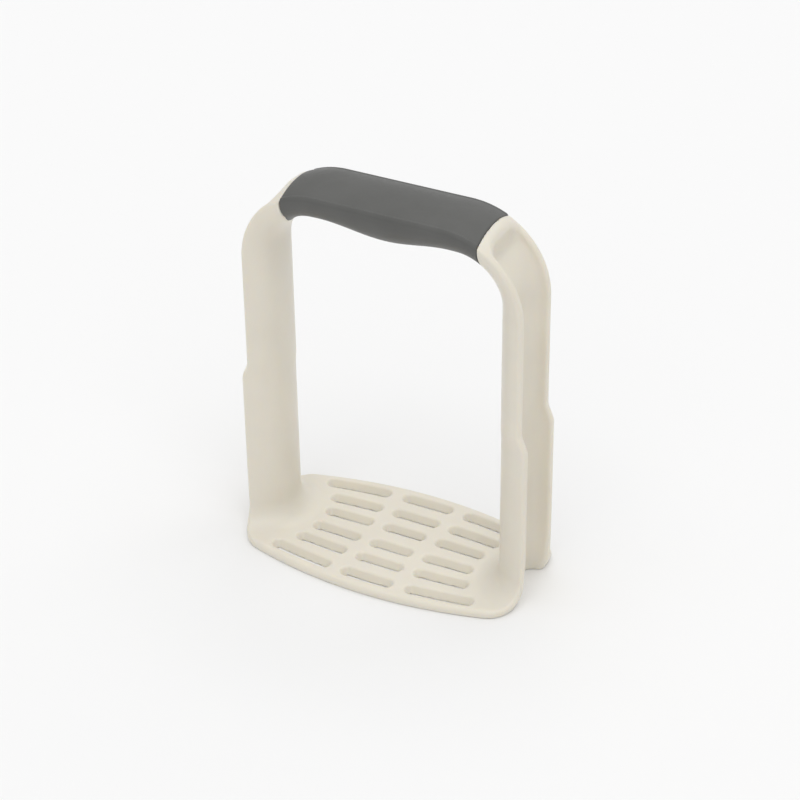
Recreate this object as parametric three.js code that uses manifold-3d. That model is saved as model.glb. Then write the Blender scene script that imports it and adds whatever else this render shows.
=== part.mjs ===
// Potato masher: a slotted base plate, two channel-section arms and a handle bridge, all of one
// cream moulding, with a soft dark-grey grip moulded over the bridge.
// Millimetres, +Z up. The origin is the middle of the plate's underside, X runs along the handle
// from arm to arm and Y runs across it. The whole object mirrors in the planes X = 0 and Y = 0.
// The moulding is divided at its natural bends, so that each length of it is a simple solid.

import * as THREE from 'three';
import { mergeVertices } from 'three/addons/utils/BufferGeometryUtils.js';
import Module from 'manifold-3d';

const wasm = await Module();
wasm.setup();

// ---- Driving dimensions ----

const HEIGHT = 161; // floor to the outer edges of the handle's top face
const CROWN = 3.2; // rise of the band's outer face in the middle of its width
const BAND = 28.6; // width of the arms and the handle, along Y
const WALL = 3.4; // thickness of the channel's side walls at their rims
const WEB = 3; // thickness of the channel's web, on the hand's side
const JOIN_GAP = 0.3; // space left between touching solids

// Loop seen from the front: the rims follow the outer line, and the web's crest the inner one.
const OUTER_CORNER = { x: 26.4, z: HEIGHT - 32.4, r: 32.4 };
const INNER_CORNER = { x: 31, z: HEIGHT - 28.7, r: 16.1 };
const RIM_SPREAD = 0.5; // how far the rims lean outwards between the corner and the step
const STEP = { top: 81, bottom: 72, depth: 2.6 }; // where both rims step outwards
const FOOT = { height: 9, tuck: 2.3 }; // the rims curve back in towards the floor

const GRIP_END = 41; // half the length of the grip
const GRIP_SKIN = 2.6; // thickness of soft material around the bridge
const FINGER_SWELL = { depth: 3.3, reach: 27.6 }; // belly under the grip's middle

const POCKET = { start: 0.08, full: 0.56 }; // where the channel opens, as a share of the corner

const PLATE = { thickness: 3.4, halfDepth: 34.7, end: 59.6, cornerR: 7.5, prongEnd: 59 };
const BOW = 112; // plate edges and slot rows follow y = y0 (1 - (x / BOW)^2)
const SLOT_WIDTH = 5.9;
const SLOT_ROWS = [
  { y0: 27.7, middle: 11.7, inner: 16.8, outer: 45.6 },
  { y0: 16.5, middle: 10.8, inner: 15.3, outer: 39.1 },
  { y0: 5.9, middle: 9.8, inner: 14.3, outer: 36.6 },
];

const ROUNDNESS = 2; // exponent of the half-round section; 2 is an ellipse
const SECTION_STEPS = 14; // facets along one half-round
const RIM_CHAMFER = 0.9;
const FACET_SLACK = 0.15; // extra gap where a flat facet faces a round one

// ---- Helpers ----

const lerp = THREE.MathUtils.lerp;
const smoothstep = THREE.MathUtils.smoothstep;
const range = (count) => Array.from({ length: count + 1 }, (_, i) => i / count);

// Half-round line from (-halfWidth, start) over (0, depth) to (halfWidth, start), as [y, s] pairs.
function halfRound(halfWidth, depth, start = 0) {
  return range(SECTION_STEPS).map((f) => {
    const c = Math.cos(Math.PI * f);
    const y = -halfWidth * Math.sign(c) * Math.abs(c) ** (2 / ROUNDNESS);
    return [y, start + (depth - start) * Math.sin(Math.PI * f) ** (2 / ROUNDNESS)];
  });
}

// Surface through rings of equal length, closed by a cap at each end, facing out.
function loft(rings, section) {
  const count = rings[0].length;
  const positions = rings.flat().flatMap((p) => [p.x, p.y, p.z]);
  const index = [];
  for (let r = 0; r + 1 < rings.length; r += 1) {
    for (let i = 0; i < count; i += 1) {
      const a = r * count + i;
      const b = r * count + ((i + 1) % count);
      index.push(a, b, b + count, a, b + count, a + count);
    }
  }
  const caps = [section[0], section[section.length - 1]];
  caps.forEach((outline, end) => {
    const points = outline.map(([y, s]) => new THREE.Vector2(y, s));
    const base = end * (rings.length - 1) * count;
    const flip = THREE.ShapeUtils.isClockWise(points) === (end === 0);
    for (const [a, b, c] of THREE.ShapeUtils.triangulateShape(points, [])) {
      const turned = flip ? [a, b, c] : [a, c, b];
      index.push(...turned.map((i) => base + i));
    }
  });
  const geometry = new THREE.BufferGeometry();
  geometry.setAttribute('position', new THREE.Float32BufferAttribute(positions, 3));
  geometry.setIndex(signedVolume(positions, index) < 0 ? index.reverse() : index);
  return geometry;
}

function signedVolume(positions, index) {
  let sum = 0;
  const [a, b, c] = [new THREE.Vector3(), new THREE.Vector3(), new THREE.Vector3()];
  for (let i = 0; i < index.length; i += 3) {
    a.fromArray(positions, 3 * index[i]);
    b.fromArray(positions, 3 * index[i + 1]);
    c.fromArray(positions, 3 * index[i + 2]);
    sum += a.dot(b.cross(c));
  }
  return sum / 6;
}

// A station is where the band is cut across: rim is on the outer line, crest on the inner one.
// Its outline's s runs from the rim (0) towards the crest.
function ringAt({ rim, crest, outline }) {
  const inward = crest.clone().sub(rim).normalize();
  return outline.map(([y, s]) => rim.clone().addScaledVector(inward, s).setY(y));
}

function loftStations(stations) {
  return loft(stations.map(ringAt), stations.map((station) => station.outline));
}

function toManifold(geometry) {
  const bare = geometry.clone();
  bare.deleteAttribute('normal');
  bare.deleteAttribute('uv');
  const merged = mergeVertices(bare);
  return new wasm.Manifold(
    new wasm.Mesh({
      numProp: 3,
      vertProperties: new Float32Array(merged.attributes.position.array),
      triVerts: new Uint32Array(merged.index.array),
    }),
  );
}

function fromManifold(solid) {
  const mesh = solid.getMesh();
  const geometry = new THREE.BufferGeometry();
  geometry.setAttribute('position', new THREE.BufferAttribute(mesh.vertProperties, 3));
  geometry.setIndex(new THREE.BufferAttribute(mesh.triVerts, 1));
  return geometry;
}

// ---- Loop lines ----

const at = (x, z) => new THREE.Vector3(x, 0, z);
const onArc = ({ x, z, r }, angle) => at(x + r * Math.sin(angle), z + r * Math.cos(angle));
const reachAngle = ({ x, r }, targetX) => Math.asin((targetX - x) / r);
const arcTop = ({ x, z, r }, px) => z + Math.sqrt(r * r - Math.max(0, Math.abs(px) - x) ** 2);

const CREST_X = INNER_CORNER.x + INNER_CORNER.r;
const CORNER_RIM_X = OUTER_CORNER.x + OUTER_CORNER.r;

// Distance of the rims from the middle plane, at height z below the corner.
function rimX(z) {
  const lean = RIM_SPREAD * (1 - z / OUTER_CORNER.z);
  const step = STEP.depth * smoothstep(STEP.top - z, 0, STEP.top - STEP.bottom);
  const tuck = FOOT.tuck * (Math.max(0, FOOT.height - z) / FOOT.height) ** 2;
  return CORNER_RIM_X + lean + step - tuck;
}

// ---- Arms ----

// Channel open on the rims' side. open goes from 0, solid shoulder, to 1, full depth.
function channelOutline(depth, open) {
  const half = BAND / 2;
  const crownAt = (y) => -CROWN * (1 - (y / half) ** 2);
  const back = halfRound(half, depth, RIM_CHAMFER);
  const floor = halfRound(half - WALL, depth - WEB, crownAt(half - WALL));
  const opened = floor.map(([y, s]) => [y, lerp(crownAt(y), s, open)]);
  const rimEdge = half - RIM_CHAMFER;
  const rimTop = crownAt(rimEdge);
  return [[-rimEdge, rimTop], ...back, [rimEdge, rimTop], ...opened.reverse()];
}

function armStation(rim, crest, open) {
  return { rim, crest, outline: channelOutline(rim.distanceTo(crest), open) };
}

function cornerStations() {
  const rimStart = reachAngle(OUTER_CORNER, GRIP_END);
  const crestStart = reachAngle(INNER_CORNER, GRIP_END);
  return range(10).map((f) => {
    const rim = onArc(OUTER_CORNER, lerp(rimStart, Math.PI / 2, f));
    const crest = onArc(INNER_CORNER, lerp(crestStart, Math.PI / 2, f));
    return armStation(rim, crest, smoothstep(f, POCKET.start, POCKET.full));
  });
}

function straightStations() {
  const step = STEP.top - STEP.bottom;
  const inStep = range(5).map((f) => STEP.top - step * f);
  const inFoot = range(4).map((f) => FOOT.height * (1 - f));
  return [112, 96, ...inStep, 42, ...inFoot].map((z) => armStation(at(rimX(z), z), at(CREST_X, z), 1));
}

function armGeometry() {
  return loftStations([...cornerStations(), ...straightStations()]);
}

// ---- Handle ----

const swell = (x) => {
  const f = Math.min(1, Math.abs(x) / FINGER_SWELL.reach);
  return FINGER_SWELL.depth * 0.5 * (1 + Math.cos(Math.PI * f));
};

// D-shaped bar outline: crowned top face, half-round underside, all set in by inset.
function barOutline(depth, inset) {
  const half = BAND / 2 - inset;
  const top = range(6).map((f) => {
    const y = lerp(half - RIM_CHAMFER, RIM_CHAMFER - half, f);
    return [y, inset - CROWN * (1 - (y / half) ** 2)];
  });
  return [...halfRound(half, depth - inset, inset + RIM_CHAMFER), ...top];
}

function barGeometry(halfLength, inset) {
  const inner = range(16).slice(1, -1).map((f) => lerp(-GRIP_END, GRIP_END, f));
  const stations = [-halfLength, ...inner, halfLength].map((x) => {
    const rim = at(x, arcTop(OUTER_CORNER, x));
    const crest = at(x, arcTop(INNER_CORNER, x) - swell(x));
    return { rim, crest, outline: barOutline(rim.distanceTo(crest), inset) };
  });
  return loftStations(stations);
}

function gripGeometry() {
  const outside = toManifold(barGeometry(GRIP_END - JOIN_GAP, 0));
  const hollow = toManifold(barGeometry(GRIP_END + 1, GRIP_SKIN));
  return fromManifold(outside.subtract(hollow));
}

// ---- Base plate ----

const bowed = (y0, x) => y0 * (1 - (x / BOW) ** 2);

// One quarter of the plate's outline, from the middle of its long edge to the arm's web.
function plateQuarter() {
  const { halfDepth, end, cornerR, prongEnd } = PLATE;
  const centreX = end - cornerR;
  const slope = (x) => (2 * halfDepth * x) / BOW ** 2;
  const touchX = centreX + cornerR * Math.sin(Math.atan(slope(centreX + cornerR / 4)));
  const lean = Math.atan(slope(touchX));
  const centreY = bowed(halfDepth, touchX) - cornerR * Math.cos(lean);
  const lastAngle = Math.asin((prongEnd - centreX) / cornerR);
  const edge = range(8).map((f) => [touchX * f, bowed(halfDepth, touchX * f)]);
  const corner = range(6).slice(1).map((f) => {
    const angle = lerp(lean, lastAngle, f);
    return [centreX + cornerR * Math.sin(angle), centreY + cornerR * Math.cos(angle)];
  });
  const clear = JOIN_GAP + FACET_SLACK;
  const rim = rimX(PLATE.thickness);
  const web = halfRound(BAND / 2 + clear, rim - CREST_X + clear, RIM_CHAMFER)
    .slice(SECTION_STEPS / 2)
    .filter(([, s]) => rim - s < prongEnd)
    .map(([y, s]) => [rim - s, y])
    .reverse();
  return [...edge, ...corner, [prongEnd, BAND / 2 + clear], ...web];
}

function plateShape() {
  const quarter = plateQuarter();
  const back = [...quarter.slice(1).reverse().map(([x, y]) => [-x, y]), ...quarter];
  const front = back.slice(1, -1).reverse().map(([x, y]) => [x, -y]);
  return new THREE.Shape([...back, ...front].map(([x, y]) => new THREE.Vector2(x, y)));
}

// Slot with round ends that follows the plate's bow, between x = from and x = to.
function slotPath(y0, from, to) {
  const r = SLOT_WIDTH / 2;
  const side = (sign) => range(3).map((f) => {
    const x = lerp(from + r, to - r, f);
    return new THREE.Vector2(x, bowed(y0, x) + sign * r);
  });
  const cap = (x, turn) => range(5).slice(1, -1).map((f) => {
    const angle = turn + Math.PI * f;
    return new THREE.Vector2(x + r * Math.cos(angle), bowed(y0, x) + r * Math.sin(angle));
  });
  const right = cap(to - r, -Math.PI / 2);
  const left = cap(from + r, Math.PI / 2);
  return new THREE.Path([...side(-1), ...right, ...side(1).reverse(), ...left]);
}

function plateGeometry() {
  const shape = plateShape();
  for (const { y0, middle, inner, outer } of SLOT_ROWS) {
    for (const y of [y0, -y0]) {
      shape.holes.push(slotPath(y, -middle, middle));
      shape.holes.push(slotPath(y, inner, outer));
      shape.holes.push(slotPath(y, -outer, -inner));
    }
  }
  return new THREE.ExtrudeGeometry(shape, { depth: PLATE.thickness, bevelEnabled: false });
}

// ---- Assembly ----

const cream = () => new THREE.MeshStandardMaterial({ color: 0xdfd9cb, roughness: 0.38, metalness: 0 });
const softGrey = () => new THREE.MeshStandardMaterial({ color: 0x5c5e5c, roughness: 0.72, metalness: 0 });

const masher = new THREE.Group();

function addPart(name, geometry, material) {
  const mesh = new THREE.Mesh(geometry, material);
  mesh.name = name;
  masher.add(mesh);
  return mesh;
}

addPart('base_plate', plateGeometry(), cream());
addPart('right_arm', armGeometry(), cream());
addPart('left_arm', armGeometry(), cream()).rotation.z = Math.PI;
addPart('handle_bridge', barGeometry(GRIP_END - JOIN_GAP, GRIP_SKIN + JOIN_GAP + FACET_SLACK), cream());
addPart('soft_grip', gripGeometry(), softGrey());

export default masher;
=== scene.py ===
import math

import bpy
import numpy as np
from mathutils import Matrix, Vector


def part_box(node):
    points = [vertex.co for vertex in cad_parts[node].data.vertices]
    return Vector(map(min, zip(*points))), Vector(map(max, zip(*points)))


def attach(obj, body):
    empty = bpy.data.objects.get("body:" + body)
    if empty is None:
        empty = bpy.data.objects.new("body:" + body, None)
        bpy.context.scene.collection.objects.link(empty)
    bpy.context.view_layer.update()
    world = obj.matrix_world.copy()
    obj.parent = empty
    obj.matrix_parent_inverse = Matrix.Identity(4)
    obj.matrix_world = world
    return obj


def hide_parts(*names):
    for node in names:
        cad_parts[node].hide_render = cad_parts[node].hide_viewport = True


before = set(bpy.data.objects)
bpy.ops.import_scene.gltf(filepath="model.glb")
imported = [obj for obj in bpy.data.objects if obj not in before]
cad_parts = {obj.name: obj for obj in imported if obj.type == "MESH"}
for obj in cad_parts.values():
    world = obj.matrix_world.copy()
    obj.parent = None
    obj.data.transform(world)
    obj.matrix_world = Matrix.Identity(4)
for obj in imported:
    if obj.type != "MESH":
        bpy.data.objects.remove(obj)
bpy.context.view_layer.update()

# Looks of the potato masher: a seamless cream moulding and the soft grip around its handle. Each is
# written as a distance field in millimetres, meshed, and then drawn onto the exact surface. The
# object mirrors in the planes X = 0 and Y = 0.

import openvdb
from mathutils import Matrix, Vector

MM = 0.001

# ---- Sizes taken from the frame, in millimetres ----

plate_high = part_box("base_plate")[1] / MM
arm_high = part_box("right_arm")[1] / MM
grip_low, grip_high = (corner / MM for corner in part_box("soft_grip"))

HALF_BAND = arm_high.y  # half the width of the arms and the handle
PLATE_TOP = plate_high.z
PLATE_HALF_DEPTH = plate_high.y
CROWN = 3.2  # rise of the band's outer face in the middle of its width
CROWN_FADE = 24.0  # height at which the arms' outer faces have their full crown
HEIGHT = grip_high.z - CROWN  # floor to the outer edges of the handle's top face
SOLID_GAP = 0.3  # between the grip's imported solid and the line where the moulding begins
GRIP_END = grip_high.x + SOLID_GAP
WIDEST_RIM = arm_high.x

# ---- Driving dimensions, in millimetres ----

OUTER_CORNER = dict(x=26.4, z=HEIGHT - 32.4, r=32.4)  # the rims' line
INNER_CORNER = dict(x=31.0, z=HEIGHT - 28.7, r=16.1)  # the crest of the web, on the hand's side
CREST_X = INNER_CORNER["x"] + INNER_CORNER["r"]
RIM_SPREAD = 0.5
STEP = dict(top=81.0, bottom=72.0, depth=2.6)
FOOT = dict(height=9.0, tuck=2.3)
ROUNDNESS = 2.0  # exponent of the half-round section
WALL = 3.4
WEB = 3.0
THINNEST = 4.0  # the band is never taken to be thinner than this

PLATE_CORNER = 7.5
BOW = 112.0  # plate edges and slot rows follow y = y0 (1 - (x / BOW)^2)
SLOT_RADIUS = 2.95  # at the plate's top
SLOT_DRAFT = 2.1  # how much smaller the radius is at the floor
SLOT_ROWS = (
    dict(y0=27.7, middle=11.7, inner=16.8, outer=45.6),
    dict(y0=16.5, middle=10.8, inner=15.3, outer=39.1),
    dict(y0=5.9, middle=9.8, inner=14.3, outer=36.6),
)

RIM_ROUND = 0.9  # radius of the rims' outer edges
CHANNEL_ROUND = 2.2  # radius of the rims' inner edges
PLATE_ROUND = 2.0  # radius of the plate's top edge
EDGE_FADE = (3.0, 14.0)  # heights between which the plate's rounding turns into the rims'
FLOOR_ROUND = 0.5  # radius of the edges on the floor
SLOT_ROUND = 0.7  # radius of the slots' top edges
FLARE_RADIUS = 9.5  # fillet where the arms run out into the plate

# The hollow on an arm's outside. Its floor starts lead above the face at the grip and falls until the
# share full of the corner, where it is overshoot times as deep as the half-round that then bounds it.
POCKET = dict(lead=1.8, full=0.28, overshoot=1.4, floor_round=5.0)
RAMP_LEAN = 0.8  # turns depth into distance on the sloping ramp

GRIP_SKIN = 2.6
GRIP_ROUND = 0.9
BEAD = dict(inset=1.1, width=0.5, rise=0.35)  # fine raised line along the grip's upper edges
GRIP_GAP = 0.08
SEAM_ROUND = 0.4
SWELL = dict(depth=3.3, reach=27.6)  # the grip's belly under the fingers
INSET_REACH = 12.0  # how far past the grip's end the inset bridge is looked for
SEAM_RAKE = dict(start=7.0, end=11.5, reach=2.6)  # the grip is longer underneath, near the crest

# ---- Meshing and looks ----

VOXEL = 0.5
GRADIENT_REACH = 0.03
PROJECTIONS = 4
FLATTEST = 0.25  # least squared slope used when a point is moved onto the surface

CREAM = ((0.3, (0.763, 0.72, 0.625)), (0.7, (0.793, 0.75, 0.653)))
GREY = ((0.3, (0.112, 0.113, 0.108)), (0.7, (0.124, 0.125, 0.12)))
FLOOR_WHITE = (0.9, 0.9, 0.9, 1)
FLOOR_HALF = 6.0  # metres
FLOOR_DROP = 0.0001  # metres, so that the floor and the plate's underside don't coincide

SKY_STRENGTH = 0.52
LIGHTS = (  # name, direction towards the light, strength, degrees across
    ("overhead", (0, 0, 1), 1.05, 70),
    ("front_right", (0.385, -0.74, 1.0), 0.56, 60),
    ("behind", (0.1, 1, 0.9), 0.35, 60),
)
VIEW = dict(azimuth=27.509, elevation=33.465, roll=-0.766, target_z=118.56,
            distance=859.6, aside=-2.148, up=38.883)  # degrees and millimetres
SENSOR = 36
LENS = 101.25


# ---- Field helpers ----

def smoothstep(t):
    t = np.clip(t, 0, 1)
    return t * t * (3 - 2 * t)


def round_union(a, b, radius):
    """Union of two fields with a fillet of that radius in the corner between them."""
    fillet = np.hypot(np.maximum(radius - a, 0), np.maximum(radius - b, 0))
    return np.maximum(radius, np.minimum(a, b)) - fillet


def round_cut(a, b, radius):
    """Intersection of two fields with the edge between them rounded to that radius."""
    return -round_union(-a, -b, radius)


def bowed(y0, x):
    return y0 * (1 - (x / BOW) ** 2)


# ---- The loop ----

def rim_x(z):
    """Distance of the rims from the middle plane, at height z below the corner."""
    lean = RIM_SPREAD * (1 - z / OUTER_CORNER["z"])
    step = STEP["depth"] * smoothstep((STEP["top"] - z) / (STEP["top"] - STEP["bottom"]))
    tuck = FOOT["tuck"] * (np.maximum(0, FOOT["height"] - z) / FOOT["height"]) ** 2
    return OUTER_CORNER["x"] + OUTER_CORNER["r"] + lean + step - tuck


def below_rims(x, z):
    """Depth below the loop's outer line."""
    corner = OUTER_CORNER
    arc = corner["r"] - np.hypot(np.maximum(x - corner["x"], 0), z - corner["z"])
    slope = rim_x(z + 0.5) - rim_x(z - 0.5)
    return np.where(z > corner["z"], arc, (rim_x(z) - x) / np.hypot(1, slope))


def above_crest(x, z):
    """Distance outwards from the loop's inner line."""
    corner = INNER_CORNER
    arc = np.hypot(np.maximum(x - corner["x"], 0), z - corner["z"]) - corner["r"]
    return np.where(z > corner["z"], arc, x - CREST_X)


def half_round(y, depth, half_width, full_depth):
    """Field of a half-round section that runs straight on above depth 0."""
    u = y / half_width
    v = np.maximum(depth, 0) / full_depth
    n = ROUNDNESS
    reach = np.maximum((u ** n + v ** n) ** (1 / n), 1e-3)
    steepness = np.hypot((u / reach) ** (n - 1) / half_width, (v / reach) ** (n - 1) / full_depth)
    return (reach - 1) / np.maximum(steepness, 1 / (half_width + full_depth))


def corner_progress(x, z):
    """0 where the grip ends on the outer line and 1 where the arm begins."""
    corner = OUTER_CORNER
    start = math.asin((GRIP_END - corner["x"]) / corner["r"])
    angle = np.arctan2(np.maximum(x - corner["x"], 0), np.maximum(z - corner["z"], 0) + 1e-6)
    return (angle - start) / (math.pi / 2 - start)


def above_face(y, z, depth):
    """Distance above the outer face of the band, whose crown runs out towards the floor."""
    rise = CROWN * smoothstep(z / CROWN_FADE)
    return -depth - rise * np.maximum(0, 1 - (y / HALF_BAND) ** 2)


def seam_x(depth):
    """Half the grip's length, which grows a little towards the crest."""
    start, end, reach = SEAM_RAKE["start"], SEAM_RAKE["end"], SEAM_RAKE["reach"]
    return GRIP_END + reach * smoothstep((depth - start) / (end - start))


def pocket_field(y, depth, thickness, progress):
    """The hollow on the outer side of an arm, with its ramp below the shoulder."""
    hollow = half_round(y, depth, HALF_BAND - WALL, np.maximum(thickness - WEB, 1))
    ramp = smoothstep(progress / POCKET["full"])
    floor = (thickness - WEB) * POCKET["overshoot"] * ramp - CROWN - POCKET["lead"] * (1 - ramp)
    return round_cut(hollow, (depth - floor) * RAMP_LEAN, POCKET["floor_round"])


def frame_field(x, y, z):
    """Signed distance in millimetres to the surface of the cream moulding, negative inside."""
    x, y = np.abs(x), np.abs(y)
    depth = below_rims(x, z)
    thickness = np.maximum(depth + above_crest(x, z), THINNEST)
    progress = corner_progress(x, z)

    section = half_round(y, depth, HALF_BAND, thickness)
    face = above_face(y, z, depth)
    flare = round_union(section, z - PLATE_TOP, FLARE_RADIUS)
    fade = smoothstep((z - EDGE_FADE[0]) / (EDGE_FADE[1] - EDGE_FADE[0]))
    outline = round_cut(plate_edge(x, y), face, PLATE_CORNER)
    solid = round_cut(flare, outline, PLATE_ROUND + (RIM_ROUND - PLATE_ROUND) * fade)

    # inside the grip only an inset bridge is left
    core = np.maximum(section, face) + GRIP_SKIN + GRIP_GAP
    shoulder = round_cut(solid, seam_x(depth) + GRIP_GAP - x, SEAM_ROUND)
    upper = np.minimum(shoulder, core)
    solid = np.where((z > INNER_CORNER["z"]) & (x < GRIP_END + INSET_REACH), upper, solid)

    solid = round_cut(solid, -pocket_field(y, depth, thickness, progress), CHANNEL_ROUND)
    solid = round_cut(solid, -slots_field(x, y, z), SLOT_ROUND)
    return round_cut(solid, -z, FLOOR_ROUND)


# ---- The plate ----

def plate_edge(x, y):
    """Distance beyond the plate's long bowed edge."""
    slope = 2 * PLATE_HALF_DEPTH * x / BOW ** 2
    return (y - bowed(PLATE_HALF_DEPTH, x)) / np.hypot(1, slope)


def slots_field(x, y, z):
    """Distance to the nearest slot, over the rows and columns of one quarter."""
    radius = SLOT_RADIUS - SLOT_DRAFT * np.clip(1 - z / PLATE_TOP, 0, 1)
    nearest = np.full(np.broadcast(x, y).shape, np.inf)
    for row in SLOT_ROWS:
        for start, end in ((-row["middle"], row["middle"]), (row["inner"], row["outer"])):
            on_line = np.clip(x, start + SLOT_RADIUS, end - SLOT_RADIUS)
            nearest = np.minimum(nearest, np.hypot(x - on_line, y - bowed(row["y0"], on_line)))
    return nearest - radius


# ---- Meshing ----

def gradient(field, points):
    parts = []
    for axis in range(3):
        step = np.zeros(3)
        step[axis] = GRADIENT_REACH
        ahead = field(*(points + step).T)
        behind = field(*(points - step).T)
        parts.append((ahead - behind) / (2 * GRADIENT_REACH))
    return np.stack(parts, axis=1)


def mesh_from_field(name, field, bottom, high):
    """Meshes a field that mirrors in X = 0 and Y = 0, and moves its vertices onto the exact surface."""
    counts = [int(math.ceil((high[i] + 2 * VOXEL) / VOXEL)) for i in (0, 1)]
    x = np.arange(counts[0] + 1) * VOXEL
    y = np.arange(counts[1] + 1) * VOXEL
    z = np.arange(bottom - 2 * VOXEL, high[2] + 2 * VOXEL, VOXEL)
    quarter = field(x[:, None, None], y[None, :, None], z[None, None, :])
    half = np.concatenate([quarter[:0:-1], quarter])
    whole = np.concatenate([half[:, :0:-1], half], axis=1)
    band = 3 * VOXEL
    grid = openvdb.FloatGrid(band)
    grid.copyFromArray(np.clip(whole, -band, band).astype(np.float32))
    points, quads = grid.convertToQuads(0.0)
    points = points * VOXEL + np.array([-x[-1], -y[-1], z[0]])
    for _ in range(PROJECTIONS):
        slope = gradient(field, points)
        size = np.maximum((slope ** 2).sum(axis=1), FLATTEST)
        move = (field(*points.T) / size)[:, None] * slope
        length = np.linalg.norm(move, axis=1)[:, None]
        points -= move * np.minimum(1, 0.5 * VOXEL / np.maximum(length, 1e-9))
    normals = gradient(field, points)
    normals /= np.linalg.norm(normals, axis=1)[:, None]
    return make_mesh(name, points, quads, normals)


def make_mesh(name, points, quads, normals):
    mesh = bpy.data.meshes.new(name)
    mesh.vertices.add(len(points))
    mesh.vertices.foreach_set("co", (points * MM).astype(np.float32).ravel())
    mesh.loops.add(len(quads) * 4)
    mesh.loops.foreach_set("vertex_index", quads.astype(np.int32).ravel())
    mesh.polygons.add(len(quads))
    mesh.polygons.foreach_set("loop_start", np.arange(len(quads), dtype=np.int32) * 4)
    mesh.update(calc_edges=True)
    mesh.validate()
    mesh.shade_smooth()
    mesh.normals_split_custom_set_from_vertices(normals.astype(np.float32))
    piece = bpy.data.objects.new(name, mesh)
    bpy.context.scene.collection.objects.link(piece)
    return piece


# ---- The grip ----

def swell(x):
    return SWELL["depth"] * 0.5 * (1 + np.cos(np.pi * np.minimum(1, np.abs(x) / SWELL["reach"])))


def grip_body(x, y, z):
    """Field of the grip's outside as if it had no ends."""
    x, y = np.abs(x), np.abs(y)
    depth = below_rims(x, z)
    thickness = np.maximum(depth + above_crest(x, z) + swell(x), THINNEST)
    section = half_round(y, depth, HALF_BAND, thickness)
    bead = BEAD["rise"] * np.exp(-((y - HALF_BAND + BEAD["inset"]) / BEAD["width"]) ** 2)
    return round_cut(section, above_face(y, z, depth) - bead, GRIP_ROUND)


def grip_field(x, y, z):
    x, y = np.abs(x), np.abs(y)
    depth = below_rims(x, z)
    thickness = np.maximum(depth + above_crest(x, z), THINNEST)
    core = np.maximum(half_round(y, depth, HALF_BAND, thickness), above_face(y, z, depth)) + GRIP_SKIN
    outside = round_cut(grip_body(x, y, z), x - seam_x(depth), SEAM_ROUND)
    return round_cut(outside, -core, SEAM_ROUND)


# ---- Materials ----

def new_material(name):
    material = bpy.data.materials.new(name)
    material.use_nodes = True
    return material, material.node_tree.nodes, material.node_tree.links


def noise(nodes, links, scale, detail):
    coords = nodes.new("ShaderNodeTexCoord")
    texture = nodes.new("ShaderNodeTexNoise")
    texture.inputs["Scale"].default_value = scale
    texture.inputs["Detail"].default_value = detail
    links.new(coords.outputs["Object"], texture.inputs["Vector"])
    return texture.outputs["Fac"]


def ramp(nodes, links, value, stops):
    node = nodes.new("ShaderNodeValToRGB")
    elements = node.color_ramp.elements
    for element, (place, color) in zip(elements, stops):
        element.position = place
        element.color = (*color, 1)
    links.new(value, node.inputs["Fac"])
    return node.outputs["Color"]


def spread(nodes, links, value, low, high):
    node = nodes.new("ShaderNodeMapRange")
    node.inputs["To Min"].default_value = low
    node.inputs["To Max"].default_value = high
    links.new(value, node.inputs["Value"])
    return node.outputs["Result"]


def bump(nodes, links, height, strength, distance):
    node = nodes.new("ShaderNodeBump")
    node.inputs["Strength"].default_value = strength
    node.inputs["Distance"].default_value = distance
    links.new(height, node.inputs["Height"])
    return node.outputs["Normal"]


def cream_plastic():
    """Slightly translucent satin nylon: faint flow mottling, a fine moulded surface."""
    material, nodes, links = new_material("cream_plastic")
    shader = nodes["Principled BSDF"]
    mottle = noise(nodes, links, scale=45, detail=3)
    links.new(ramp(nodes, links, mottle, CREAM), shader.inputs["Base Color"])
    gloss = noise(nodes, links, scale=160, detail=3)
    links.new(spread(nodes, links, gloss, low=0.26, high=0.38), shader.inputs["Roughness"])
    grain = noise(nodes, links, scale=900, detail=2)
    links.new(bump(nodes, links, grain, strength=0.06, distance=0.0004), shader.inputs["Normal"])
    shader.inputs["Subsurface Weight"].default_value = 0.35
    shader.inputs["Subsurface Radius"].default_value = (1.0, 0.8, 0.45)
    shader.inputs["Subsurface Scale"].default_value = 0.0022
    shader.inputs["IOR"].default_value = 1.5
    return material


def grey_soft_touch():
    """Matt soft-touch rubber with a fine spark-eroded grain."""
    material, nodes, links = new_material("grey_soft_touch")
    shader = nodes["Principled BSDF"]
    cloud = noise(nodes, links, scale=70, detail=3)
    links.new(ramp(nodes, links, cloud, GREY), shader.inputs["Base Color"])
    gloss = noise(nodes, links, scale=400, detail=2)
    links.new(spread(nodes, links, gloss, low=0.36, high=0.5), shader.inputs["Roughness"])
    grain = noise(nodes, links, scale=2200, detail=2)
    links.new(bump(nodes, links, grain, strength=0.25, distance=0.0003), shader.inputs["Normal"])
    shader.inputs["Specular IOR Level"].default_value = 0.22
    return material


def white_floor():
    material, nodes, _ = new_material("white_floor")
    shader = nodes["Principled BSDF"]
    shader.inputs["Base Color"].default_value = FLOOR_WHITE
    shader.inputs["Roughness"].default_value = 0.9
    shader.inputs["Specular IOR Level"].default_value = 0.1
    return material


# ---- Pieces ----

def build_frame():
    high = (WIDEST_RIM, PLATE_HALF_DEPTH, grip_high.z)
    piece = mesh_from_field("moulded_frame", frame_field, 0, high)
    piece.data.materials.append(cream_plastic())
    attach(piece, "root")
    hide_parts("base_plate", "left_arm", "right_arm", "handle_bridge")


def build_grip():
    high = (GRIP_END + SEAM_RAKE["reach"], HALF_BAND, grip_high.z)
    piece = mesh_from_field("grip_sleeve", grip_field, grip_low.z, high)
    piece.data.materials.append(grey_soft_touch())
    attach(piece, "root")
    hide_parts("soft_grip")


# ---- Stage ----

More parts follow.
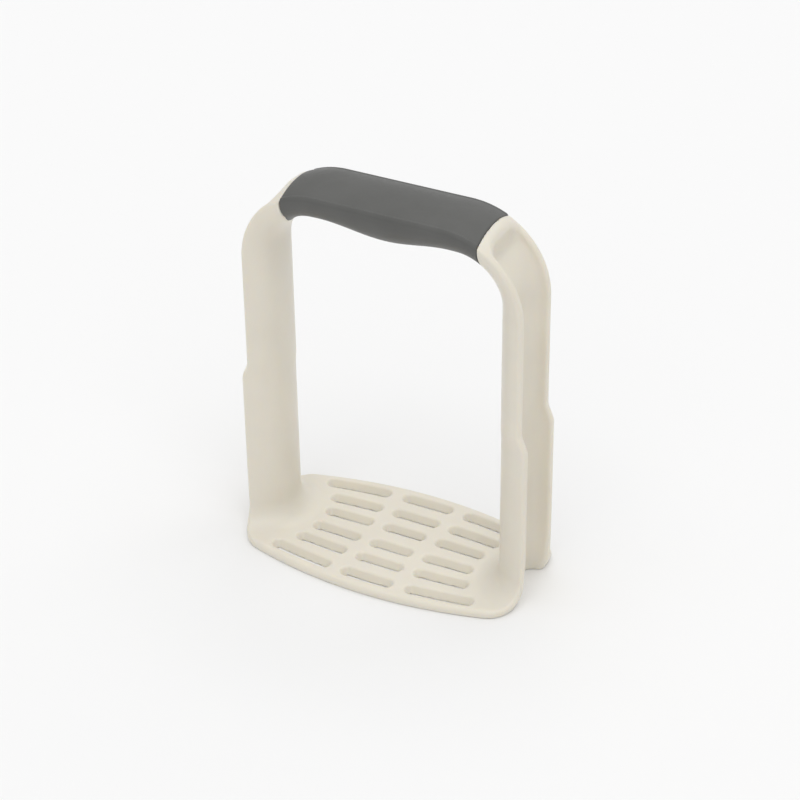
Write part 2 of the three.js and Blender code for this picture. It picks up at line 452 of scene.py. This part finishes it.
def build_floor():
    half = FLOOR_HALF
    mesh = bpy.data.meshes.new("floor")
    corners = [(-half, -half, 0), (half, -half, 0), (half, half, 0), (-half, half, 0)]
    mesh.from_pydata(corners, [], [(0, 1, 2, 3)])
    floor = bpy.data.objects.new("floor", mesh)
    floor.location.z = -FLOOR_DROP
    bpy.context.scene.collection.objects.link(floor)
    mesh.materials.append(white_floor())


def soft_sun(name, direction, strength, spread_angle):
    """Even light from one side of the studio, as from a large diffuser."""
    data = bpy.data.lights.new(name, "SUN")
    data.energy = strength
    data.angle = math.radians(spread_angle)
    light = bpy.data.objects.new(name, data)
    light.rotation_euler = (-Vector(direction)).to_track_quat("-Z", "Y").to_euler()
    bpy.context.scene.collection.objects.link(light)


def build_lights():
    world = bpy.data.worlds.new("studio")
    world.use_nodes = True
    background = world.node_tree.nodes["Background"]
    background.inputs["Color"].default_value = (1.0, 1.0, 1.0, 1)
    background.inputs["Strength"].default_value = SKY_STRENGTH
    bpy.context.scene.world = world
    for name, direction, strength, across in LIGHTS:
        soft_sun(name, direction, strength, across)


def build_camera():
    """Long lens from the front right and above, level but for a slight roll."""
    azimuth, elevation, roll = (math.radians(VIEW[turn]) for turn in ("azimuth", "elevation", "roll"))
    distance, aside, up = (VIEW[part] * MM for part in ("distance", "aside", "up"))
    target = Vector((0, 0, VIEW["target_z"] * MM))
    right = Vector((math.cos(azimuth), math.sin(azimuth), 0))
    back = Vector((math.sin(azimuth) * math.cos(elevation),
                   -math.cos(azimuth) * math.cos(elevation), math.sin(elevation)))
    above = back.cross(right)
    turned = math.cos(roll) * right + math.sin(roll) * above
    tilted = math.cos(roll) * above - math.sin(roll) * right
    place = target + back * distance - turned * aside - tilted * up
    data = bpy.data.cameras.new("camera")
    data.sensor_width = SENSOR
    data.lens = LENS
    data.clip_start = 0.01
    camera = bpy.data.objects.new("camera", data)
    axes = Matrix((turned, tilted, back)).transposed().to_4x4()
    camera.matrix_world = Matrix.Translation(place) @ axes
    bpy.context.scene.collection.objects.link(camera)
    bpy.context.scene.camera = camera


build_camera()
build_lights()
build_floor()
build_frame()
build_grip()

bpy.context.scene.view_settings.view_transform = "Standard"
